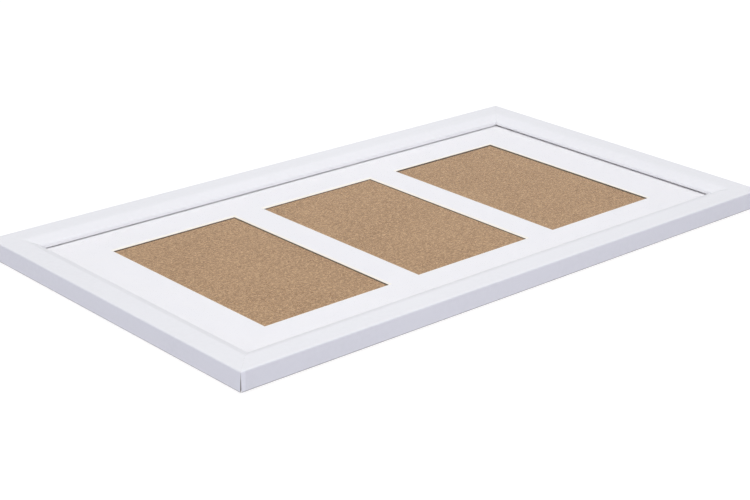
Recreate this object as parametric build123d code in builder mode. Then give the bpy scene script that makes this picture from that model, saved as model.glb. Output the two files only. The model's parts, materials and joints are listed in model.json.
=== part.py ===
"""Collage photo frame with a bevel-cut mat, lying face up on the fittings of its back.

Millimetres. X runs along the long rails, Y is up when the frame hangs in landscape, and Z comes out of
the face. The origin is the middle of the lowest side of the box round the whole frame.
"""
import os
from math import atan2, degrees

from build123d import *

# Windows of the mat, measured at the foot of their bevels
window_width = 88.9
window_height = 139.7
window_gap = 23.8
window_count = 3
side_margin = 32.8
end_margin = 26.5

# Stack in the rabbet, from the face to the back
glazing_thickness = 1.5
mat_thickness = 1.2
backing_thickness = 3.5
stack_play = 0.7
pane_clearance = 0.8
bevel_angle = 45.0

# Moulding
land_width = 14.0
slope_width = 7.4
slope_drop = 3.2
lip_thickness = 1.85
lip_overlap = 4.8
arris_radius = 0.9
crown_radius = 8.0
lip_radius = 2.0
foot_chamfer = 0.6
mitre_gap = 0.1

# V nails that close each mitre from the back
v_nail_leg = 5.0
v_nail_strip = 0.5
v_nail_height = 7.0
v_nail_set = 0.2
v_nail_first_inset = 3.4
v_nail_pitch = 6.0
v_nails_per_corner = 2

# Turn buttons, swung about a screw each
button_thickness = 1.0
button_reach = 11.0
button_pad_radius = 4.2
button_tip_radius = 2.8
button_lip_run = 1.6
button_lip_drop = 0.6
button_play = 0.05
button_long_spread = 190.0
button_short_spread = 90.0
pivot_to_rabbet = 5.5

# Pan head screws of the buttons
screw_radius = 1.45
screw_running_clearance = 0.08
screw_depth = 8.0
screw_point = 2.4
screw_head_radius = 2.9
screw_head_height = 1.6
screw_head_chamfer = 0.8
screw_slot_length = 3.2
screw_slot_width = 0.65
screw_slot_depth = 0.9

# Sawtooth hangers
hanger_length = 44.5
hanger_width = 9.0
hanger_thickness = 0.8
hanger_pad = 9.0
hanger_crank = 2.6
hanger_standoff = 1.3
hanger_inset = 8.0
tooth_pitch = 2.0
tooth_depth = 1.3
tooth_count = 9

# Nails of the hangers
nail_radius = 0.8
nail_depth = 8.0
nail_point = 1.8
nail_head_radius = 1.8
nail_head_height = 0.6

# Fit of the nails and screws in their bores
bore_clearance = 0.05

# Sizes that follow from the ones above
face_width = land_width + slope_width
sight_width = window_count * window_width + (window_count - 1) * window_gap + 2 * side_margin
sight_height = window_height + 2 * end_margin
outer_width = sight_width + 2 * face_width
outer_height = sight_height + 2 * face_width
pane_width = sight_width + 2 * (lip_overlap - pane_clearance)
pane_height = sight_height + 2 * (lip_overlap - pane_clearance)
back_width = face_width - lip_overlap
rabbet_depth = stack_play + backing_thickness + mat_thickness + glazing_thickness
sight_edge = rabbet_depth + lip_thickness
rail_height = sight_edge + slope_drop
pivot_inset = back_width - pivot_to_rabbet
head_seat = button_thickness + 2 * button_play
nail_spread = hanger_length - hanger_pad
nail_end = nail_depth - hanger_thickness

# Heights above the lowest point, which is the foot of the screw heads
rail_back = head_seat + screw_head_height
backing_foot = rail_back + stack_play
mat_foot = backing_foot + backing_thickness
glazing_foot = mat_foot + mat_thickness

# Each side of the frame: its turn from the bottom side, its length, the frame's span across it, the
# spread of its two turn buttons and the words for the ends that they are nearer to
sides = {
    "bottom": (0, outer_width, outer_height, button_long_spread, ("left", "right")),
    "right": (90, outer_height, outer_width, button_short_spread, ("lower", "upper")),
    "top": (180, outer_width, outer_height, button_long_spread, ("right", "left")),
    "left": (270, outer_height, outer_width, button_short_spread, ("upper", "lower")),
}
hanger_sides = {"landscape_hanger": "top", "portrait_hanger": "left"}

os.makedirs("parts", exist_ok=True)


def save(part, name):
    """Labels a finished piece and writes its file."""
    part.label = name
    export_step(part, f"parts/{name}.step")


def side_plane(side, height=0.0):
    """Plane over the rails' backs, turned so that its X runs along a side and its Y into the frame."""
    return Plane(Location((0, 0, 0), (0, 0, sides[side][0])) * Pos(0, 0, rail_back + height))


def pair(side, spread, inset):
    """Two points on a side's plane, spread about its middle and set in from its outer face."""
    span = sides[side][2]
    return [(end * spread / 2, inset - span / 2) for end in (-1, 1)]


def button_points(side):
    """Where the two turn buttons of a side swing."""
    return pair(side, sides[side][3], pivot_inset)


def nail_points(side):
    """Where the two nails of a side's hanger stand."""
    return pair(side, nail_spread, hanger_inset)


def placed(side, points):
    """Places on a side for copies of a piece that is drawn as one of the bottom side."""
    return [side_plane(side).location * Pos(*point) for point in points]


def nearest(across, up):
    """The corner of the sketch in hand that is nearest to a point."""
    return vertices().sort_by_distance((across, up, 0))[0]


def v_nail_outlines(side):
    """Draws the V nails of both ends of a side, whose legs run along its two rails."""
    length, span = sides[side][1:3]
    for end in (-1, 1):
        for step in range(v_nails_per_corner):
            inset = v_nail_first_inset + step * v_nail_pitch
            apex = end * (length / 2 - inset)
            middle = (v_nail_leg - v_nail_strip) / 2
            with Locations((apex - end * middle, inset - span / 2)):
                Rectangle(v_nail_leg, v_nail_strip)
            with Locations((apex, inset - span / 2 + middle)):
                Rectangle(v_nail_strip, v_nail_leg)


# Rails: a flat land that rolls over into a slope down to the sight edge, with the rabbet behind it
for side, (_, length, span, _, _) in sides.items():
    back = side_plane(side)
    profile_plane = Plane(back.location * Pos(0, -span / 2, 0) * Plane.YZ.location)
    with BuildPart() as rail:
        with BuildSketch(profile_plane):
            with BuildLine():
                Polyline(
                    (0, 0),
                    (0, rail_height),
                    (land_width, rail_height),
                    (face_width, sight_edge),
                    (face_width, rabbet_depth),
                    (back_width, rabbet_depth),
                    (back_width, 0),
                    close=True,
                )
            make_face()
            fillet(nearest(land_width, rail_height), crown_radius)
            fillet(nearest(0, rail_height), arris_radius)
            fillet(nearest(face_width, sight_edge), lip_radius)
            chamfer(nearest(0, 0), foot_chamfer)
        extrude(amount=length / 2, both=True)
        for end in (-1, 1):
            outward = Vector(end, 1, 0).normalized()
            corner = Vector(end * length / 2, -span / 2, 0)
            mitre = Plane(origin=corner - outward * (mitre_gap / 2), z_dir=outward)
            split(bisect_by=Plane(back.location * mitre.location), keep=Keep.BOTTOM)
        with BuildSketch(back):
            v_nail_outlines(side)
        extrude(amount=v_nail_set + v_nail_height, mode=Mode.SUBTRACT)
        with BuildSketch(back):
            with Locations(button_points(side)):
                Circle(screw_radius + bore_clearance)
        extrude(amount=screw_depth + bore_clearance, mode=Mode.SUBTRACT)
        if side in hanger_sides.values():
            with BuildSketch(back):
                with Locations(nail_points(side)):
                    Circle(nail_radius + bore_clearance)
            extrude(amount=nail_end + bore_clearance, mode=Mode.SUBTRACT)
    save(rail.part, f"{side}_rail")

# V nails, set a little below the rails' backs, two across each mitre
with BuildPart() as corner_v_nails:
    for side in ("bottom", "top"):
        with BuildSketch(side_plane(side, v_nail_set)):
            v_nail_outlines(side)
        extrude(amount=v_nail_height)
save(corner_v_nails.part, "corner_v_nails")

# Clear glazing, up against the lips of the rails
with BuildPart() as glazing:
    with BuildSketch(Plane.XY.offset(glazing_foot)):
        Rectangle(pane_width, pane_height)
    extrude(amount=glazing_thickness)
save(glazing.part, "glazing")

# Mat board, its windows cut with a bevel that opens towards the face
with BuildPart() as mat_board:
    with BuildSketch(Plane.XY.offset(mat_foot)):
        Rectangle(pane_width, pane_height)
    extrude(amount=mat_thickness)
    with BuildSketch(Plane.XY.offset(mat_foot)):
        with GridLocations(window_width + window_gap, 0, window_count, 1):
            Rectangle(window_width, window_height)
    extrude(amount=mat_thickness, taper=-bevel_angle, mode=Mode.SUBTRACT)
save(mat_board.part, "mat_board")

# Fibreboard back that closes the rabbet
with BuildPart() as backing_board:
    with BuildSketch(Plane.XY.offset(backing_foot)):
        Rectangle(pane_width, pane_height)
    extrude(amount=backing_thickness)
save(backing_board.part, "backing_board")

# Turn button: a stamped tab round its screw, whose tip reaches over the backing and turns out a little
with BuildPart() as turn_button:
    tab_top = -button_play
    tab_foot = tab_top - button_thickness
    lip_start = button_reach - button_lip_run
    with BuildSketch(Plane.YZ):
        with BuildLine():
            Polyline(
                (-button_pad_radius, tab_top),
                (lip_start, tab_top),
                (button_reach, tab_top - button_lip_drop),
                (button_reach, tab_foot - button_lip_drop),
                (lip_start, tab_foot),
                (-button_pad_radius, tab_foot),
                close=True,
            )
        make_face()
    extrude(amount=button_pad_radius, both=True)
    with BuildSketch(Plane.XY):
        Circle(button_pad_radius)
        with Locations((0, button_reach - button_tip_radius)):
            Circle(button_tip_radius)
        make_hull()
    extrude(amount=-(head_seat + button_lip_drop), mode=Mode.INTERSECT)
    with BuildSketch(Plane.XY):
        Circle(screw_radius + screw_running_clearance)
    extrude(amount=-(head_seat + button_lip_drop), mode=Mode.SUBTRACT)

for side in sides:
    for place, end_word in zip(placed(side, button_points(side)), sides[side][4]):
        with BuildPart() as placed_button:
            with Locations(place):
                add(turn_button.part)
        save(placed_button.part, f"turn_button_{side}_{end_word}")

# Pan head wood screw with a cross slot
with BuildPart() as screw:
    head_foot = -(head_seat + screw_head_height)
    with BuildSketch(Plane.XZ):
        with BuildLine():
            Polyline(
                (0, head_foot),
                (screw_head_radius, head_foot),
                (screw_head_radius, -head_seat),
                (screw_radius, -head_seat),
                (screw_radius, screw_depth - screw_point),
                (0, screw_depth),
                close=True,
            )
        make_face()
        chamfer(nearest(screw_head_radius, head_foot), screw_head_chamfer)
    revolve(axis=Axis.Z)
    with BuildSketch(Plane.XY.offset(head_foot)):
        Rectangle(screw_slot_length, screw_slot_width)
        Rectangle(screw_slot_width, screw_slot_length)
    extrude(amount=screw_slot_depth, mode=Mode.SUBTRACT)

with BuildPart() as turn_button_screws:
    for side in sides:
        with Locations(placed(side, button_points(side))):
            add(screw.part)
save(turn_button_screws.part, "turn_button_screws")

# Sawtooth hanger: a strip cranked clear of the rail between its two nails, toothed on its inner edge
with BuildPart() as hanger:
    half = hanger_length / 2
    crank_start = half - hanger_pad
    crank_end = crank_start - hanger_crank
    bridge_foot = -(hanger_standoff + hanger_thickness)
    with BuildSketch(Plane.XZ):
        with BuildLine():
            Polyline(
                (-half, 0),
                (-crank_start, 0),
                (-crank_end, -hanger_standoff),
                (crank_end, -hanger_standoff),
                (crank_start, 0),
                (half, 0),
                (half, -hanger_thickness),
                (crank_start, -hanger_thickness),
                (crank_end, bridge_foot),
                (-crank_end, bridge_foot),
                (-crank_start, -hanger_thickness),
                (-half, -hanger_thickness),
                close=True,
            )
        make_face()
    extrude(amount=hanger_width / 2, both=True)
    with BuildSketch(Plane.XY):
        SlotOverall(hanger_length, hanger_width)
    extrude(amount=bridge_foot, mode=Mode.INTERSECT)
    with BuildSketch(Plane.XY):
        with Locations((0, hanger_width / 2)):
            with GridLocations(tooth_pitch, 0, tooth_count, 1):
                with BuildLine():
                    Polyline((-tooth_pitch / 2, 0), (tooth_pitch / 2, 0), (0, -tooth_depth), close=True)
                make_face()
        with Locations((-nail_spread / 2, 0), (nail_spread / 2, 0)):
            Circle(nail_radius + bore_clearance)
    extrude(amount=bridge_foot, mode=Mode.SUBTRACT)

for name, side in hanger_sides.items():
    with BuildPart() as placed_hanger:
        with Locations(placed(side, pair(side, 0, hanger_inset)[:1])):
            add(hanger.part)
    save(placed_hanger.part, name)

# Flat headed nail
with BuildPart() as nail:
    nail_head_foot = -(hanger_thickness + nail_head_height)
    with BuildSketch(Plane.XZ):
        with BuildLine():
            Polyline(
                (0, nail_head_foot),
                (nail_head_radius, nail_head_foot),
                (nail_head_radius, -hanger_thickness),
                (nail_radius, -hanger_thickness),
                (nail_radius, nail_end - nail_point),
                (0, nail_end),
                close=True,
            )
        make_face()
    revolve(axis=Axis.Z)

with BuildPart() as hanger_nails:
    for side in hanger_sides.values():
        with Locations(placed(side, nail_points(side))):
            add(nail.part)
save(hanger_nails.part, "hanger_nails")

slope_angle = degrees(atan2(slope_drop, slope_width))
print(f"outer {outer_width:.1f} x {outer_height:.1f} x {rail_back + rail_height:.2f} mm")
print(f"sight {sight_width:.1f} x {sight_height:.1f} mm, panes {pane_width:.1f} x {pane_height:.1f} mm")
print(f"rail {rail_height:.2f} mm high, {back_width:.1f} mm wide at the back, slope {slope_angle:.1f} degrees")
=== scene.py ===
"""Looks of a white collage photo frame with a three-window mat, lying face up.

Metres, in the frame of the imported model: X along the long rails, Y up when the frame hangs in
landscape, Z out of the face.
"""
import json
from math import ceil, cos, pi, radians, sin, tan

import bmesh
import bpy
from mathutils import Matrix, Vector


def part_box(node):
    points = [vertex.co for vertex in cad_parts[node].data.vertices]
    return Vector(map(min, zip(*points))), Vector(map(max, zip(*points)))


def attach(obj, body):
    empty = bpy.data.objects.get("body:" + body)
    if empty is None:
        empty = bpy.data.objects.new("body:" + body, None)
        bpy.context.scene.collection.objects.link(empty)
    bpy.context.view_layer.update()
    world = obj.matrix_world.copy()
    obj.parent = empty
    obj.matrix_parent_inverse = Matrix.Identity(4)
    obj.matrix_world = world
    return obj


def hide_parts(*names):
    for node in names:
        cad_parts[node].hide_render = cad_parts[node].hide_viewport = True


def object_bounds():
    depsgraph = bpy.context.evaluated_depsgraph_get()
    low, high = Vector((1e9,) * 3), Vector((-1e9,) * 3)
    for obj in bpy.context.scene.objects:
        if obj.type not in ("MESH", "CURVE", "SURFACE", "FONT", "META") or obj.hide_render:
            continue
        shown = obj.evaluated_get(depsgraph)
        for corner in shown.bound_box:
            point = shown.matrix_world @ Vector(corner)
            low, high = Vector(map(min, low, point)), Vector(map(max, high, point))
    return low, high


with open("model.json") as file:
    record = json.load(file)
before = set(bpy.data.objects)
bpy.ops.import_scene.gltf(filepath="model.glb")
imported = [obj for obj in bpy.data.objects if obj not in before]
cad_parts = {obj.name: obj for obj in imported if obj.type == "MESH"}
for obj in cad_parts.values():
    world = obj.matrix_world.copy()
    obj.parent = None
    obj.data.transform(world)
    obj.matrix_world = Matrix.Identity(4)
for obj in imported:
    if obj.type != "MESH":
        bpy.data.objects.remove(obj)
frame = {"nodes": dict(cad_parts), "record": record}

cad_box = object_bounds()

mm = 0.001

# Camera and picture
picture_width = 750
focal_pixels = 1794.3
sensor_width = 36.0
camera_place = Vector((-705.7, -749.2, 396.3)) * mm
camera_azimuth = radians(42.702)
camera_elevation = radians(21.552)
camera_roll = radians(1.167)
clip_near, clip_far = 0.01, 100.0

# Key lamp, and the sky's fill between horizon and zenith
key_irradiance = 1.80
key_distance = 3.0
key_radius = 2.1
key_colour = (1.0, 0.99, 0.975)
key_direction = Vector((0.38, 0.43, -0.82)).normalized()
fill_strength = 0.506
fill_horizon = (0.80, 0.86, 1.0)
fill_zenith = (0.97, 0.98, 1.0)

# Small soft lamps over the far corner and beside the near long side, where the photograph is
# brightest: the place of each, and the irradiance that it gives at its reach
small_radius = 0.12
glow_place = Vector((0.12, 0.14, 0.25))
glow_reach = 0.25
glow_irradiance = 0.24
side_place = Vector((-0.05, -0.34, 0.06))
side_reach = 0.22
side_irradiance = 0.17

# Lamps under the floor, for views of the back
under_strength = 1.8
low_strength = 0.28
low_direction = Vector((0.66, 0.25, 0.62)).normalized()
under_angle, low_angle = radians(4), radians(25)

# Floor
floor_size = 12.0
floor_drop = 0.05 * mm
floor_bounce = (0.405, 0.395, 0.49)
floor_glow = 0.80
floor_seen_albedo = 0.30

# Moulding, as the rails of the model have it
land_width = 14.0 * mm
lip_thickness = 1.85 * mm
lip_overlap = 4.8 * mm
arris_radius = 0.9 * mm
crown_radius = 8.0 * mm
lip_radius = 2.0 * mm
foot_radius = 0.7 * mm
rabbet_radius = 0.15 * mm

# Foil of the moulding: how far it turns in at the back and under the lip
foil_return = 4.2 * mm
foil_lip_return = 4.0 * mm

# Mitres: the gap on the face, and how far each corner opens at the foot of its outer side
mitre_gap = 0.02 * mm
mitre_softening = 0.05 * mm
touch_up_width = 3.0 * mm
opening_reach = 9.0 * mm
lip_opening_share = 0.45
lip_opening_reach = 1.5 * mm
openings = {"near": 0.80 * mm, "right": 0.16 * mm, "far": 0.08 * mm, "left": 0.20 * mm}
touch_ups = {("bottom", "near"), ("right", "far"), ("top", "left")}

# V nails, as the model has them
v_nail_leg = 5.0 * mm
v_nail_strip = 0.5 * mm
v_nail_insets = (3.4 * mm, 9.4 * mm)

# Turn button screws and hanger nails. The cross recess has a reach and a half width at its mouth
# and at its bottom. Its cutter flares past the mouth, and starts above it by a share of the depth
screw_radius = 1.45 * mm
screw_head_radius = 2.9 * mm
screw_head_height = 1.6 * mm
screw_length = 10.7 * mm
screw_point = 2.4 * mm
recess_reach = (1.6 * mm, 0.55 * mm)
recess_half_width = (0.38 * mm, 0.18 * mm)
recess_depth = 1.1 * mm
recess_flare = 1.2
recess_lead = 0.2
recess_first_turn, recess_turn_step = 0.6, 1.1
nail_radius = 0.8 * mm
nail_head_radius = 1.8 * mm
nail_head_height = 0.6 * mm
nail_length = 8.6 * mm
nail_point = 1.8 * mm
nail_spread = 35.5 * mm
bore_clearance = 0.05 * mm
round_steps = 48

# Heads from crown to seat, as shares of the radius and the height
screw_head_profile = (
    (0.0, 0.0), (0.45, 0.02), (0.70, 0.10), (0.86, 0.24),
    (0.96, 0.46), (1.0, 0.72), (1.0, 0.94), (0.97, 1.0),
)
nail_head_profile = (
    (0.0, 0.0), (0.5, 0.06), (0.8, 0.22), (0.96, 0.52), (1.0, 0.8), (0.96, 1.0),
)

# Turn buttons and hangers. An outline in shares of the pitch and the depth cuts each tooth, and
# starts a little outside the hanger's edge
button_rounding = 0.16 * mm
hanger_rounding = 0.10 * mm
hanger_width = 9.0 * mm
tooth_pitch = 2.0 * mm
tooth_depth = 1.3 * mm
tooth_count = 9
tooth_share = 0.90
tooth_lead = 0.2
tooth_outline = ((-0.5, 0.0), (-0.5, tooth_lead), (0.5, tooth_lead), (0.5, 0.0), (0.0, -1.0))

# Clear sheet: the share of its thickness that shows, as a render doesn't bend light in it, and how
# far down into it each lip reaches
pane_share = 0.5
lip_shares = {"bottom": 0.8, "right": 0.8, "top": 0.55, "left": 0.8}
pane_rounding = 0.12 * mm

# Mat: its windows, the pale band of core colour along their upper edge, widened as a painted
# highlight, and how wide the painted shadow line is at the foot of each one's bevel
window_width = 88.9 * mm
window_height = 139.7 * mm
window_gap = 23.8 * mm
window_count = 3
core_band_painted_highlight = 0.45 * mm
arris_drop = 0.08 * mm
shadow_lines = (0.50 * mm, 0.42 * mm, 0.66 * mm)

# Rounding and smooth shading
arc_step = radians(7)
support_share = 0.3
support_most = 0.25 * mm
sharp_angle = radians(32)
flat_angle = radians(1)
merge_distance = 0.001 * mm

# Noises of the materials: features per metre, detail, roughness and distortion
foil_patches = (28.0, 2.0)
foil_mottle = (350.0, 2.0)
foil_grain = (1500.0, 3.0, 0.6)
strand_noise = (1.0, 3.0, 0.6, 0.5)
board_grain = (1300.0, 4.0, 0.75, 1.2)
board_lumps = (620.0, 3.0, 0.65)
board_pits = (520.0, 2.0, 0.6)
board_clouds = (22.0, 3.0)
paper_fibre = (1400.0, 4.0, 0.65)
paper_clouds = (60.0, 3.0)
brushing_noise = (1.0, 3.0, 0.6)
spangle_noise = (420.0, 2.0)

# Ranges that a noise is stretched from, and the share of a colour that it brings at most
mild_range = (0.35, 0.65)
wide_range = (0.3, 0.7)
strand_range = (0.50, 0.70)
dark_range = (0.48, 0.40)
light_range = (0.53, 0.61)
lump_shares = (0.6, 0.5)
grain_shares = (1.0, 0.9)
pit_range, pit_share, pit_shade = (0.34, 0.24), 0.9, 0.6
fleck_range, fleck_share, fleck_scale = (0.16, 0.04), 0.6, 420.0
cloud_share = 0.10

# Strands of the board: the turn and scale of each layer. Strands and brushing have features per
# metre along, across and deep
strand_layers = ((0.3, 1.0), (1.35, 1.2), (2.4, 0.85))
strand_scales = (330.0, 1400.0, 900.0)
brushing_scales = (300.0, 2600.0, 900.0)

# Surfaces
foil_roughness, foil_specular, foil_bump = (0.42, 0.56), 0.35, 0.012 * mm
foil_mottle_height = 0.8
board_roughness, board_specular, board_bump_strength = 0.88, 0.15, 0.7
paper_roughness, paper_specular, paper_bump = 0.92, 0.1, 0.02 * mm
steel_specular, steel_bump, spangle_shade = 0.5, 0.006 * mm, 0.84
pane_roughness, pane_gloss_least, pane_gloss_more, pane_gloss_power = 0.03, 0.005, 0.15, 5.0

# Foil's colour, and how much lighter the painted edges of the mitres are
foil_white = (0.822, 0.819, 0.845, 1.0)
touch_up_lightness = 1.09

# Places read from the model
rail_low, rail_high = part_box("bottom_rail")
mat_low, mat_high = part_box("mat_board")
pane_low, pane_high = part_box("glazing")
_, v_nail_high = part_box("corner_v_nails")
half_width, half_height = cad_box[1].x, cad_box[1].y
long_side, short_side = 2 * half_width, 2 * half_height
rail_back, rail_top = rail_low.z, rail_high.z
face_width = rail_high.y - rail_low.y
back_width = face_width - lip_overlap
sight_edge = pane_high.z - rail_back + lip_thickness
pane_thickness = pane_high.z - pane_low.z
rail_height = rail_top - rail_back
pivots = [Vector(joint["pos_m"]) for joint in frame["record"]["behaviour"]["joints"]]


# Materials -----------------------------------------------------------------------------------

def add(tree, kind, sockets=None, **settings):
    """A new node, with its sockets set to values or linked to other nodes' outputs."""
    made = tree.nodes.new(kind)
    for key, value in settings.items():
        setattr(made, key, value)
    for key, value in (sockets or {}).items():
        socket = made.inputs[key]
        if isinstance(value, bpy.types.NodeSocket):
            tree.links.new(value, socket)
        else:
            socket.default_value = value
    return made


def blank(name):
    """A material with an empty tree and the object's own coordinates."""
    made = bpy.data.materials.new(name)
    made.use_nodes = True
    tree = made.node_tree
    tree.nodes.clear()
    return made, tree, add(tree, "ShaderNodeTexCoord").outputs["Object"]


def close(tree, surface):
    """Ends a tree with its output."""
    add(tree, "ShaderNodeOutputMaterial", {"Surface": surface})


def noise(tree, where, scale, detail=2.0, roughness=0.5, distortion=0.0):
    """Noise of a number of features per metre."""
    return add(tree, "ShaderNodeTexNoise", {
        "Vector": where, "Scale": scale, "Detail": detail,
        "Roughness": roughness, "Distortion": distortion,
    }).outputs["Fac"]


def ramp(tree, value, low, high, most=1.0):
    """A value stretched from low..high to 0..most."""
    return add(tree, "ShaderNodeMapRange", {
        "Value": value, "From Min": low, "From Max": high, "To Max": most,
    }, clamp=True).outputs["Result"]


def spread(tree, value, low, high):
    """A value stretched from 0..1 to low..high."""
    return add(tree, "ShaderNodeMapRange", {
        "Value": value, "To Min": low, "To Max": high,
    }).outputs["Result"]


def maths(tree, operation, first, second=0.0):
    """One step of arithmetic."""
    return add(tree, "ShaderNodeMath", {0: first, 1: second}, operation=operation).outputs[0]


def mixed(tree, share, first, second):
    """Two colours mixed."""
    return add(tree, "ShaderNodeMix", {0: share, 6: first, 7: second}, data_type="RGBA").outputs[2]


def rgb(red, green, blue):
    """A colour socket's value."""
    return (red, green, blue, 1.0)


def shade(colour, share):
    """A colour made lighter or darker."""
    return rgb(*(share * part for part in colour[:3]))


def bump(tree, height, distance, strength=1.0):
    """A bump from a height."""
    return add(tree, "ShaderNodeBump", {
        "Height": height, "Distance": distance, "Strength": strength,
    }).outputs["Normal"]


def finished(tree, colour, roughness, normal, specular, metallic=0.0):
    """Ends a tree with one opaque surface."""
    close(tree, add(tree, "ShaderNodeBsdfPrincipled", {
        "Base Color": colour, "Roughness": roughness, "Normal": normal,
        "Specular IOR Level": specular, "Metallic": metallic,
    }).outputs[0])


def foil_material(name, base, unevenness=0.02):
    """White satin foil over board: fine grain and a slow unevenness."""
    made, tree, where = blank(name)
    patches = noise(tree, where, *foil_patches)
    grain = noise(tree, where, *foil_grain)
    mottle = noise(tree, where, *foil_mottle)
    colour = mixed(tree, ramp(tree, patches, *mild_range), shade(base, 1 - unevenness), base)
    colour = mixed(tree, ramp(tree, mottle, *wide_range), colour, shade(base, 1 + unevenness / 2))
    height = maths(tree, "ADD", grain, maths(tree, "MULTIPLY", mottle, foil_mottle_height))
    finished(tree, colour, spread(tree, grain, *foil_roughness), bump(tree, height, foil_bump),
             foil_specular)
    return made


def board_material(name, base, dark, light, contrast, depth):
    """Pressed fibre: short strands lying every way over a fine grain, with flecks."""
    made, tree, where = blank(name)
    strands = None
    along, across, deep = strand_scales
    for turn, scale in strand_layers:
        turned = add(tree, "ShaderNodeMapping", {
            "Vector": where, "Rotation": (0.0, 0.0, turn),
            "Scale": (along * scale, across * scale, deep),
        }).outputs["Vector"]
        layer = noise(tree, turned, *strand_noise)
        strands = layer if strands is None else maths(tree, "MAXIMUM", strands, layer)
    grain = noise(tree, where, *board_grain)
    lumps = noise(tree, where, *board_lumps)
    pits = noise(tree, where, *board_pits)
    flecks = add(tree, "ShaderNodeTexVoronoi", {
        "Vector": where, "Scale": fleck_scale,
    }).outputs["Distance"]
    clouds = noise(tree, where, *board_clouds)
    colour = mixed(tree, ramp(tree, strands, *strand_range), dark, light)
    colour = mixed(tree, 1.0 - contrast, colour, base)
    for layer, (dark_share, light_share) in ((lumps, lump_shares), (grain, grain_shares)):
        colour = mixed(tree, ramp(tree, layer, *dark_range, dark_share), colour, dark)
        colour = mixed(tree, ramp(tree, layer, *light_range, light_share), colour, light)
    colour = mixed(tree, ramp(tree, pits, *pit_range, pit_share), colour, shade(dark, pit_shade))
    colour = mixed(tree, ramp(tree, flecks, *fleck_range, fleck_share), colour, light)
    colour = mixed(tree, ramp(tree, clouds, *mild_range, cloud_share), colour, light)
    height = maths(tree, "ADD", strands, grain)
    finished(tree, colour, board_roughness, bump(tree, height, depth, board_bump_strength),
             board_specular)
    return made


def paper_material(name, base, warm, fibre_strength):
    """Matt paper with a soft tooth."""
    made, tree, where = blank(name)
    fibre = noise(tree, where, *paper_fibre)
    clouds = noise(tree, where, *paper_clouds)
    colour = mixed(tree, ramp(tree, clouds, *wide_range), base, warm)
    finished(tree, colour, paper_roughness, bump(tree, fibre, paper_bump, fibre_strength),
             paper_specular)
    return made


def steel_material(name, base, smoothest, roughest):
    """Zinc plated sheet or wire with a faint brushing."""
    made, tree, where = blank(name)
    brushed = add(tree, "ShaderNodeMapping", {
        "Vector": where, "Scale": brushing_scales,
    }).outputs["Vector"]
    brushing = noise(tree, brushed, *brushing_noise)
    spangle = noise(tree, where, *spangle_noise)
    colour = mixed(tree, ramp(tree, spangle, *wide_range), base, shade(base, spangle_shade))
    finished(tree, colour, spread(tree, brushing, smoothest, roughest),
             bump(tree, brushing, steel_bump), steel_specular, metallic=1.0)
    return made


def pane_material():
    """Clear sheet: what is behind it, with a faint gloss towards grazing."""
    made, tree, _ = blank("clear_sheet")
    clear = add(tree, "ShaderNodeBsdfTransparent")
    gloss = add(tree, "ShaderNodeBsdfGlossy", {"Roughness": pane_roughness})
    facing = add(tree, "ShaderNodeLayerWeight", {"Blend": 0.5}).outputs["Facing"]
    share = maths(tree, "MULTIPLY", maths(tree, "POWER", facing, pane_gloss_power), pane_gloss_more)
    share = maths(tree, "ADD", share, pane_gloss_least)
    both = add(tree, "ShaderNodeMixShader", {0: share, 1: clear.outputs[0], 2: gloss.outputs[0]})
    close(tree, both.outputs[0])
    return made


foil = foil_material("white_foil", foil_white)
foil_touched = foil_material("white_touch_up", shade(foil_white, touch_up_lightness))
# Dark grey foil for the arc at the foot of the outer sides: painted shade along their bottom edge
foil_foot_painted_shade = foil_material("foot_painted_shade_foil_edge", rgb(0.34, 0.335, 0.34), unevenness=0.25)
core = board_material(
    "moulding_core", base=rgb(0.400, 0.290, 0.190), dark=rgb(0.270, 0.180, 0.110),
    light=rgb(0.500, 0.380, 0.260), contrast=0.5, depth=0.05 * mm)
board = board_material(
    "brown_fibreboard", base=rgb(0.456, 0.281, 0.152), dark=rgb(0.248, 0.142, 0.072),
    light=rgb(0.676, 0.452, 0.263), contrast=0.6, depth=0.06 * mm)
mat_paper = paper_material(
    "mat_paper", base=rgb(0.895, 0.886, 0.911), warm=rgb(0.903, 0.892, 0.911), fibre_strength=0.6)
mat_core = paper_material(
    "mat_core", base=rgb(0.97, 0.935, 0.865), warm=rgb(0.96, 0.92, 0.85), fibre_strength=1.0)
# Near black brown: painted shadow at the foot of each window's bevel, and on the mat's underside
mat_painted_shadow = paper_material(
    "mat_painted_shadow", base=rgb(0.056, 0.037, 0.021), warm=rgb(0.080, 0.055, 0.034), fibre_strength=1.0)
pane = pane_material()
button_steel = steel_material("button_steel", rgb(0.54, 0.55, 0.57), smoothest=0.26, roughest=0.42)
screw_steel = steel_material("screw_steel", rgb(0.60, 0.60, 0.61), smoothest=0.18, roughest=0.32)
hanger_steel = steel_material("hanger_steel", rgb(0.50, 0.50, 0.51), smoothest=0.28, roughest=0.46)
nail_steel = steel_material("nail_steel", rgb(0.50, 0.50, 0.52), smoothest=0.30, roughest=0.50)


# Meshes --------------------------------------------------------------------------------------

def shade_smooth(mesh):
    """Smooth shading, except at the sharp edges."""
    mesh.shade_smooth()
    mesh.set_sharp_from_angle(angle=sharp_angle)


def piece(name, bm, materials, smooth=True):
    """A new object from a bmesh."""
    bmesh.ops.recalc_face_normals(bm, faces=bm.faces)
    mesh = bpy.data.meshes.new(name)
    bm.to_mesh(mesh)
    bm.free()
    for material in materials:
        mesh.materials.append(material)
    made = bpy.data.objects.new(name, mesh)
    bpy.context.scene.collection.objects.link(made)
    if smooth:
        shade_smooth(mesh)
    return made


def stands_for(made, node, body="frame"):
    """Puts a piece in the place of a node of the model."""
    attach(made, body)
    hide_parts(node)


def remove(made):
    """Takes an object away with its mesh."""
    mesh = made.data
    bpy.data.objects.remove(made)
    bpy.data.meshes.remove(mesh)


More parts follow.
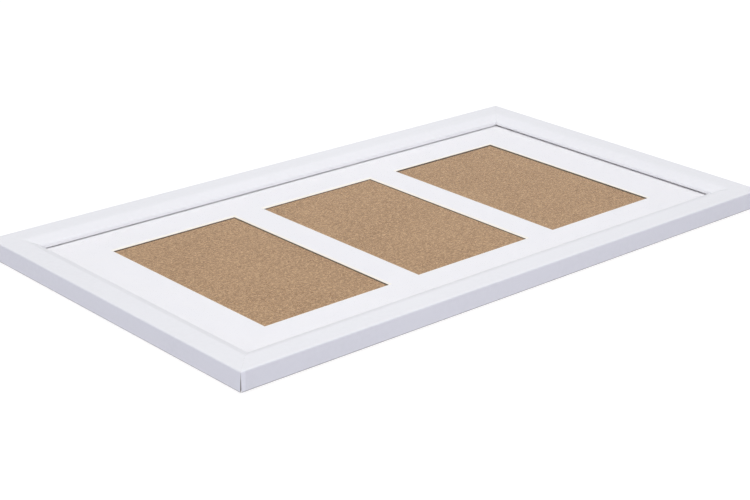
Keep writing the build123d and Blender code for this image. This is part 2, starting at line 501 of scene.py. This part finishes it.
def carved(made, cutter):
    """Cuts one object out of another and removes the cutter."""
    change = made.modifiers.new("cut", "BOOLEAN")
    change.operation, change.solver, change.object = "DIFFERENCE", "EXACT", cutter
    graph = bpy.context.evaluated_depsgraph_get()
    mesh = bpy.data.meshes.new_from_object(made.evaluated_get(graph))
    made.modifiers.clear()
    old, made.data = made.data, mesh
    bpy.data.meshes.remove(old)
    remove(cutter)
    shade_smooth(mesh)
    return made


def prism(bm, low_outline, low, high_outline, high, material=0):
    """A closed solid between two outlines with the same number of corners."""
    rings = [[bm.verts.new((x, y, z)) for x, y in outline]
             for outline, z in ((low_outline, low), (high_outline, high))]
    count = len(low_outline)
    faces = [(rings[0][i], rings[0][(i + 1) % count], rings[1][(i + 1) % count], rings[1][i])
             for i in range(count)]
    for corners in (*faces, rings[0][::-1], rings[1]):
        bm.faces.new(corners).material_index = material


def circle(radius, steps):
    """Points round the origin."""
    return [(radius * cos(2 * pi * step / steps), radius * sin(2 * pi * step / steps))
            for step in range(steps)]


def lathe(bm, profile, steps):
    """A solid of revolution from a profile that starts and ends on its axis."""
    rings = []
    for radius, height in profile:
        if radius:
            rings.append([bm.verts.new((x, y, height)) for x, y in circle(radius, steps)])
        else:
            rings.append([bm.verts.new((0.0, 0.0, height))] * steps)
    for first, second in zip(rings, rings[1:]):
        for step in range(steps):
            ahead = (step + 1) % steps
            corners = []
            for vert in (first[step], first[ahead], second[ahead], second[step]):
                if vert not in corners:
                    corners.append(vert)
            bm.faces.new(corners)


def moved(outline, x, y):
    """An outline at another place."""
    return [(x + a, y + b) for a, b in outline]


def rounded(corners):
    """Points of a closed outline, each with the material after it.

    A corner has its place, its radius, the material of its arc and the material after it.
    """
    points = []
    for index, (across, up, radius, arc, run) in enumerate(corners):
        corner = Vector((across, up))
        before = (Vector(corners[index - 1][:2]) - corner).normalized()
        after = (Vector(corners[(index + 1) % len(corners)][:2]) - corner).normalized()
        if not radius:
            points.append((corner, run))
            continue
        half = before.angle(after) / 2
        reach = radius / tan(half)
        centre = corner + (before + after).normalized() * radius / sin(half)
        start = corner + before * reach - centre
        side = 1 if before.cross(after) < 0 else -1
        sweep = pi - 2 * half
        steps = max(2, ceil(sweep / arc_step))
        support = min(support_share * radius, support_most)
        points.append((corner + before * (reach + support), corners[index - 1][4]))
        for step in range(steps + 1):
            turn = Matrix.Rotation(side * sweep * step / steps, 2)
            points.append((centre + turn @ start, run if step == steps else arc))
        points.append((corner + after * (reach + support), run))
    return points


# Materials of the moulding: foil, bare core, lighter touched-up foil, and dark foil as painted
# shade at the foot
covered, bare, touched, foot_painted_shade = range(4)


def rail_outline(side):
    """The moulding's cross-section: across from its outer face, and up from its back."""
    rabbet_depth = pane_low.z + lip_shares[side] * pane_thickness - rail_back
    return rounded([
        # The arc at the foot is in the dark grey foil, painted shade along the bottom edge
        (0, 0, foot_radius, foot_painted_shade, covered),
        (0, rail_height, arris_radius, covered, covered),
        (land_width, rail_height, crown_radius, covered, covered),
        (face_width, sight_edge, lip_radius, covered, covered),
        (face_width, rabbet_depth, rabbet_radius, covered, covered),
        (face_width - foil_lip_return, rabbet_depth, 0, bare, bare),
        (back_width, rabbet_depth, 0, bare, bare),
        (back_width, 0, rabbet_radius, bare, bare),
        (foil_return, 0, 0, covered, covered),
    ])


def mitre_shift(opening, across, up):
    """How far a rail's end stands back from its mitre's middle plane at a point of the outline."""
    foot = max(0.0, 1 - up / rail_height) * max(0.0, 1 - across / opening_reach)
    lip = max(0.0, 1 - (face_width - across) / lip_opening_reach)
    return (mitre_gap + opening * (foot + lip_opening_share * lip)) / 2


def rail_rings(bm, outline, length, span, ends):
    """Rings of corners round the moulding, from one mitre to the other."""
    stations = [(-1, 0.0, True), (-1, mitre_softening, False), (-1, touch_up_width, False)]
    stations += [(1, inward, shrunk) for _, inward, shrunk in stations[::-1]]
    rings = []
    for end, inward, shrunk in stations:
        opening = openings[ends[end > 0]]
        ring = []
        for index, (point, _) in enumerate(outline):
            ahead = outline[(index + 1) % len(outline)][0] - outline[index - 1][0]
            normal = Vector((-ahead.y, ahead.x)).normalized()
            across, up = point - normal * mitre_softening if shrunk else point
            shift = mitre_shift(opening, across, up) if inward < touch_up_width else 0.0
            along = length / 2 - across - shift - inward
            ring.append(bm.verts.new((end * along, across - span / 2, rail_back + up)))
        rings.append(ring)
    return rings


def rail_cutter(turn, length, span):
    """Sockets of the V nails and bores of the screws in one rail."""
    bm = bmesh.new()
    half, leg = v_nail_strip / 2, v_nail_leg - v_nail_strip / 2
    low = rail_back - v_nail_strip
    for end in (-1, 1):
        for inset in v_nail_insets:
            corners = [(half, -half), (half, leg), (-half, leg),
                       (-half, half), (-leg, half), (-leg, -half)]
            corners = [(end * (length / 2 - inset) + end * x, inset - span / 2 + y)
                       for x, y in corners]
            prism(bm, corners, low, corners, v_nail_high.z, bare)
    back = Matrix.Rotation(-turn, 4, "Z")
    for pivot in pivots:
        x, y, _ = back @ pivot
        if y < -span / 2 + face_width:
            corners = moved(circle(screw_radius + bore_clearance, round_steps // 2), x, y)
            prism(bm, corners, low, corners, screw_length + bore_clearance, bare)
    return piece("cutter", bm, (foil, core), smooth=False)


def rail_piece(side, turn, length, span, ends):
    """One rail between its two mitres, as the bottom side's and then turned."""
    outline = rail_outline(side)
    count = len(outline)
    bm = bmesh.new()
    rings = rail_rings(bm, outline, length, span, ends)
    near_mitres = (1, 3)
    for number, (first, second) in enumerate(zip(rings, rings[1:])):
        painted = number in near_mitres and (side, ends[number > 1]) in touch_ups
        for index in range(count):
            ahead = (index + 1) % count
            face = bm.faces.new((first[index], second[index], second[ahead], first[ahead]))
            material = outline[index][1]
            outer = max(outline[index][0].x, outline[ahead][0].x) < arris_radius / 2
            face.material_index = touched if painted and outer and material == covered else material
    for ring in (rings[0], rings[-1]):
        bm.faces.new(ring).material_index = bare
    made = piece(f"{side}_rail_foiled", bm, (foil, core, foil_touched, foil_foot_painted_shade))
    carved(made, rail_cutter(turn, length, span))
    made.data.transform(Matrix.Rotation(turn, 4, "Z"))
    stands_for(made, f"{side}_rail")


def mat_piece():
    """The mat: a sheet with three bevel-cut windows, whose cut shows the core."""
    thickness = mat_high.z - mat_low.z
    paper, cut, painted_shadow = 0, 1, 2
    pitch = window_width + window_gap
    centres = [(index - (window_count - 1) / 2) * pitch for index in range(window_count)]
    bm = bmesh.new()

    def sheet(offset, height, material):
        """A flat of the mat with a hole for each window."""
        xs = [mat_low.x]
        for centre in centres:
            xs += [centre - window_width / 2 - offset, centre + window_width / 2 + offset]
        xs.append(mat_high.x)
        ys = [mat_low.y, -window_height / 2 - offset, window_height / 2 + offset, mat_high.y]
        grid = [[bm.verts.new((x, y, height)) for y in ys] for x in xs]
        for i in range(len(xs) - 1):
            for j in range(len(ys) - 1):
                if j == 1 and i % 2 == 1:
                    continue
                corners = (grid[i][j], grid[i + 1][j], grid[i + 1][j + 1], grid[i][j + 1])
                bm.faces.new(corners).material_index = material
        return grid

    # The top stops short of each window by a band in the core's colour, widened as a painted
    # highlight
    top = sheet(thickness + core_band_painted_highlight, mat_high.z, paper)
    # The underside is in the painted shadow colour
    under = sheet(0.0, mat_low.z, painted_shadow)
    for window, shadow_line in enumerate(shadow_lines):
        i = 1 + 2 * window
        loops = [[top[i][1], top[i + 1][1], top[i + 1][2], top[i][2]]]
        for offset, drop in ((thickness, -arris_drop), (shadow_line, shadow_line - thickness)):
            x = window_width / 2 + offset
            y = window_height / 2 + offset
            loops.append([
                bm.verts.new((centres[window] + a * x, b * y, mat_high.z + drop))
                for a, b in ((-1, -1), (1, -1), (1, 1), (-1, 1))
            ])
        loops.append([under[i][1], under[i + 1][1], under[i + 1][2], under[i][2]])
        # The bevel in the core's colour, then its foot in painted shadow
        for material, outer, inner in zip((cut, cut, painted_shadow), loops, loops[1:]):
            for corner in range(4):
                ahead = (corner + 1) % 4
                face = bm.faces.new((outer[corner], outer[ahead], inner[ahead], inner[corner]))
                face.material_index = material
    last_x, last_y = len(top) - 1, len(top[0]) - 1
    rim = [(i, 0) for i in range(last_x)] + [(last_x, j) for j in range(last_y)]
    rim += [(i, last_y) for i in range(last_x, 0, -1)] + [(0, j) for j in range(last_y, 0, -1)]
    for (i, j), (k, l) in zip(rim, rim[1:] + rim[:1]):
        bm.faces.new((top[i][j], top[k][l], under[k][l], under[i][j])).material_index = cut
    made = piece("mat_board_cut", bm, (mat_paper, mat_core, mat_painted_shadow), smooth=False)
    stands_for(made, "mat_board")


def plain_mesh(mesh):
    """A mesh's solid with one face for each flat."""
    bm = bmesh.new()
    bm.from_mesh(mesh)
    bmesh.ops.remove_doubles(bm, verts=bm.verts, dist=merge_distance)
    bmesh.ops.dissolve_limit(bm, angle_limit=flat_angle, verts=bm.verts, edges=bm.edges)
    return bm


def toothed_strip(node):
    """A hanger's strip with its row of teeth along the inner edge."""
    low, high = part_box(node)
    middle = (low + high) / 2
    along = Vector((1, 0, 0)) if high.x - low.x > high.y - low.y else Vector((0, 1, 0))
    inward = Vector((0, -1, 0)) if along.x else Vector((1, 0, 0))
    edge = middle + inward * hanger_width / 2
    bm = plain_mesh(frame["nodes"][node].data)
    hole_reach = hanger_width / 4
    hole = [vert for vert in bm.verts if (vert.co - middle).xy.length < hole_reach]
    bmesh.ops.delete(bm, geom=hole, context="VERTS")
    bmesh.ops.holes_fill(bm, edges=bm.edges, sides=0)
    strip = piece(f"{node}_strip", bm, (hanger_steel,))
    bm = bmesh.new()
    for number in range(tooth_count):
        base = edge + along * (number - (tooth_count - 1) / 2) * tooth_pitch
        corners = []
        for across, out in tooth_outline:
            point = base + along * across * tooth_pitch * tooth_share + inward * out * tooth_depth
            corners.append((point.x, point.y))
        prism(bm, corners, low.z - tooth_depth, corners, high.z)
    return carved(strip, piece("cutter", bm, (hanger_steel,), smooth=False))


def softened(node, name, rounding, material, body):
    """A node of the model as a piece of its own, with its sharp edges rounded."""
    if node.endswith("_hanger"):
        strip = toothed_strip(node)
        bm = plain_mesh(strip.data)
        remove(strip)
    else:
        bm = plain_mesh(frame["nodes"][node].data)
    sharp = [edge for edge in bm.edges if edge.calc_face_angle(0.0) > sharp_angle]
    bmesh.ops.bevel(bm, geom=sharp, offset=rounding, segments=2, profile=0.5,
                    affect="EDGES", clamp_overlap=True)
    for face in bm.faces:
        face.material_index = 0
    stands_for(piece(name, bm, (material,)), node, body)


def pane_piece():
    """The clear sheet with its edges taken off, over the mat."""
    bm = plain_mesh(frame["nodes"]["glazing"].data)
    for vert in bm.verts:
        vert.co.z = pane_low.z + pane_share * (vert.co.z - pane_low.z)
    bmesh.ops.bevel(bm, geom=list(bm.edges), offset=pane_rounding, segments=1, affect="EDGES")
    for face in bm.faces:
        face.material_index = 0
    stands_for(piece("clear_sheet", bm, (pane,), smooth=False), "glazing")


def scattered(name, single, places, material):
    """Copies of one object's mesh as one piece, each at its place."""
    bm = bmesh.new()
    for place in places:
        start = len(bm.verts)
        bm.from_mesh(single.data)
        bm.verts.ensure_lookup_table()
        bmesh.ops.transform(bm, matrix=place, verts=bm.verts[start:])
    remove(single)
    return piece(name, bm, (material,))


def fastener(name, head_profile, head, radius, length, point, steps, material):
    """A screw or nail that stands on the crown of its head at the origin."""
    head_radius, head_height = head
    profile = [(across * head_radius, up * head_height) for across, up in head_profile]
    profile += [(radius, head_height), (radius, length - point), (0.0, length)]
    bm = bmesh.new()
    lathe(bm, profile, steps)
    return piece(name, bm, (material,))


def cross(reach, half):
    """The outline of a cross with four arms."""
    return [(half, half), (half, reach), (-half, reach), (-half, half),
            (-reach, half), (-reach, -half), (-half, -half), (-half, -reach),
            (half, -reach), (half, -half), (reach, -half), (reach, half)]


def screws_piece():
    """Pan head screws with a cross recess, each stopped at its own angle."""
    single = fastener("screw", screw_head_profile, (screw_head_radius, screw_head_height),
                      screw_radius, screw_length, screw_point, round_steps, screw_steel)
    wide = cross(recess_flare * recess_reach[0], recess_flare * recess_half_width[0])
    narrow = cross(recess_reach[1], recess_half_width[1])
    bm = bmesh.new()
    prism(bm, wide, -recess_lead * recess_depth, narrow, recess_depth)
    carved(single, piece("cutter", bm, (screw_steel,), smooth=False))
    places = []
    for number, pivot in enumerate(pivots):
        turn = Matrix.Rotation(recess_first_turn + recess_turn_step * number, 4, "Z")
        places.append(Matrix.Translation((pivot.x, pivot.y, 0.0)) @ turn)
    made = scattered("pan_head_screws", single, places, screw_steel)
    stands_for(made, "turn_button_screws")


def nails_piece():
    """Flat headed nails of the two hangers, their heads slightly domed."""
    single = fastener("nail", nail_head_profile, (nail_head_radius, nail_head_height),
                      nail_radius, nail_length, nail_point, round_steps // 2, nail_steel)
    nails_low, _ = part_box("hanger_nails")
    places = []
    for node, along in (("landscape_hanger", Vector((1, 0, 0))),
                        ("portrait_hanger", Vector((0, 1, 0)))):
        low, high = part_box(node)
        for end in (-0.5, 0.5):
            place = (low + high) / 2 + end * nail_spread * along
            places.append(Matrix.Translation((place.x, place.y, nails_low.z)))
    made = scattered("domed_nails", single, places, nail_steel)
    stands_for(made, "hanger_nails")


for side, turn, length, span, ends in (
    ("bottom", 0.0, long_side, short_side, ("near", "right")),
    ("right", pi / 2, short_side, long_side, ("right", "far")),
    ("top", pi, long_side, short_side, ("far", "left")),
    ("left", -pi / 2, short_side, long_side, ("left", "near")),
):
    rail_piece(side, turn, length, span, ends)
mat_piece()
pane_piece()
screws_piece()
nails_piece()
for node in list(frame["nodes"]):
    if node.startswith("turn_button_") and node != "turn_button_screws":
        softened(node, f"{node}_stamped", button_rounding, button_steel, node)
    elif node.endswith("_hanger"):
        softened(node, f"{node}_stamped", hanger_rounding, hanger_steel, "frame")

looks = {"backing_board": board, "corner_v_nails": nail_steel}
for name, look in looks.items():
    node = frame["nodes"][name]
    node.data.materials.clear()
    node.data.materials.append(look)


# Stage, light and camera -----------------------------------------------------------------------

def looked_at(tree):
    """1 for rays from the camera, off a gloss or through glass, and 0 for all others."""
    path = add(tree, "ShaderNodeLightPath").outputs
    return maths(tree, "MAXIMUM", path["Is Camera Ray"],
                 maths(tree, "MAXIMUM", path["Is Glossy Ray"], path["Is Transmission Ray"]))


def floor_material():
    """Pale floor that keeps the shadow: white where it is looked at, and clear from below."""
    made, tree, _ = blank("pale_floor")
    plain = add(tree, "ShaderNodeBsdfDiffuse", {"Color": rgb(*floor_bounce)})
    shown = add(tree, "ShaderNodeBsdfDiffuse", {"Color": rgb(*(floor_seen_albedo,) * 3)})
    glow = add(tree, "ShaderNodeEmission", {"Color": rgb(1, 1, 1), "Strength": floor_glow})
    white = add(tree, "ShaderNodeAddShader", {0: shown.outputs[0], 1: glow.outputs[0]})
    both = add(tree, "ShaderNodeMixShader", {
        0: looked_at(tree), 1: plain.outputs[0], 2: white.outputs[0],
    })
    below = add(tree, "ShaderNodeNewGeometry").outputs["Backfacing"]
    clear = add(tree, "ShaderNodeBsdfTransparent")
    sided = add(tree, "ShaderNodeMixShader", {0: below, 1: both.outputs[0], 2: clear.outputs[0]})
    close(tree, sided.outputs[0])
    return made


bm = bmesh.new()
bmesh.ops.create_grid(bm, x_segments=1, y_segments=1, size=floor_size / 2,
                      matrix=Matrix.Translation((0.0, 0.0, -floor_drop)))
floor = piece("floor", bm, (floor_material(),), smooth=False)

world = bpy.data.worlds.new("studio")
bpy.context.scene.world = world
world.use_nodes = True
tree = world.node_tree
tree.nodes.clear()
white = add(tree, "ShaderNodeBackground", {"Color": rgb(1, 1, 1), "Strength": 1.0})
direction = add(tree, "ShaderNodeTexCoord").outputs["Generated"]
height = add(tree, "ShaderNodeSeparateXYZ", {0: direction}).outputs["Z"]
sky = mixed(tree, ramp(tree, height, 0.0, 1.0), rgb(*fill_horizon), rgb(*fill_zenith))
fill = add(tree, "ShaderNodeBackground", {"Color": sky, "Strength": fill_strength})
both = add(tree, "ShaderNodeMixShader", {
    0: looked_at(tree), 1: fill.outputs[0], 2: white.outputs[0],
})
add(tree, "ShaderNodeOutputWorld", {"Surface": both.outputs[0]})


def lamp(name, kind, direction, distance=1.0):
    """A lamp that shines along a direction at the origin."""
    light = bpy.data.lights.new(name, kind)
    holder = bpy.data.objects.new(name, light)
    holder.rotation_mode = "QUATERNION"
    holder.rotation_quaternion = direction.to_track_quat("-Z", "Y")
    holder.location = -direction * distance
    bpy.context.scene.collection.objects.link(holder)
    return light, holder


def soft_lamp(name, direction, distance, radius, irradiance, reach):
    """A round lamp that gives an irradiance at a reach straight ahead of it."""
    light, holder = lamp(name, "AREA", direction, distance)
    light.shape = "DISK"
    light.size = 2 * radius
    light.energy = irradiance * pi * (radius ** 2 + reach ** 2)
    light.color = key_colour
    holder.visible_camera = False


soft_lamp("key", key_direction, key_distance, key_radius, key_irradiance, key_distance)
for name, place, irradiance, reach in (("glow", glow_place, glow_irradiance, glow_reach),
                                       ("side", side_place, side_irradiance, side_reach)):
    soft_lamp(name, -place.normalized(), place.length, small_radius, irradiance, reach)

# Two lamps under the floor, which the floor doesn't stop, for views of the back: a plain one, which
# metal doesn't mirror, and a raking one
blockers = bpy.data.collections.new("under_blockers")
blockers.objects.link(floor)
blockers.collection_objects[0].light_linking.link_state = "EXCLUDE"
for name, direction, strength, angle in (("under", Vector((0, 0, 1)), under_strength, under_angle),
                                         ("low", low_direction, low_strength, low_angle)):
    sun, sun_object = lamp(name, "SUN", direction)
    sun.energy = strength
    sun.angle = angle
    sun_object.visible_glossy = name != "under"
    sun_object.light_linking.blocker_collection = blockers

camera = bpy.data.cameras.new("camera")
camera.sensor_width = sensor_width
camera.lens = focal_pixels * sensor_width / picture_width
camera.clip_start, camera.clip_end = clip_near, clip_far
camera_object = bpy.data.objects.new("camera", camera)
bpy.context.scene.collection.objects.link(camera_object)
look = Vector((sin(camera_azimuth) * cos(camera_elevation),
               cos(camera_azimuth) * cos(camera_elevation), -sin(camera_elevation)))
camera_object.rotation_mode = "QUATERNION"
camera_object.rotation_quaternion = (
    look.to_track_quat("-Z", "Y") @ Matrix.Rotation(camera_roll, 4, "Z").to_quaternion())
camera_object.location = camera_place
bpy.context.scene.camera = camera_object

bpy.context.scene.view_settings.view_transform = "Standard"
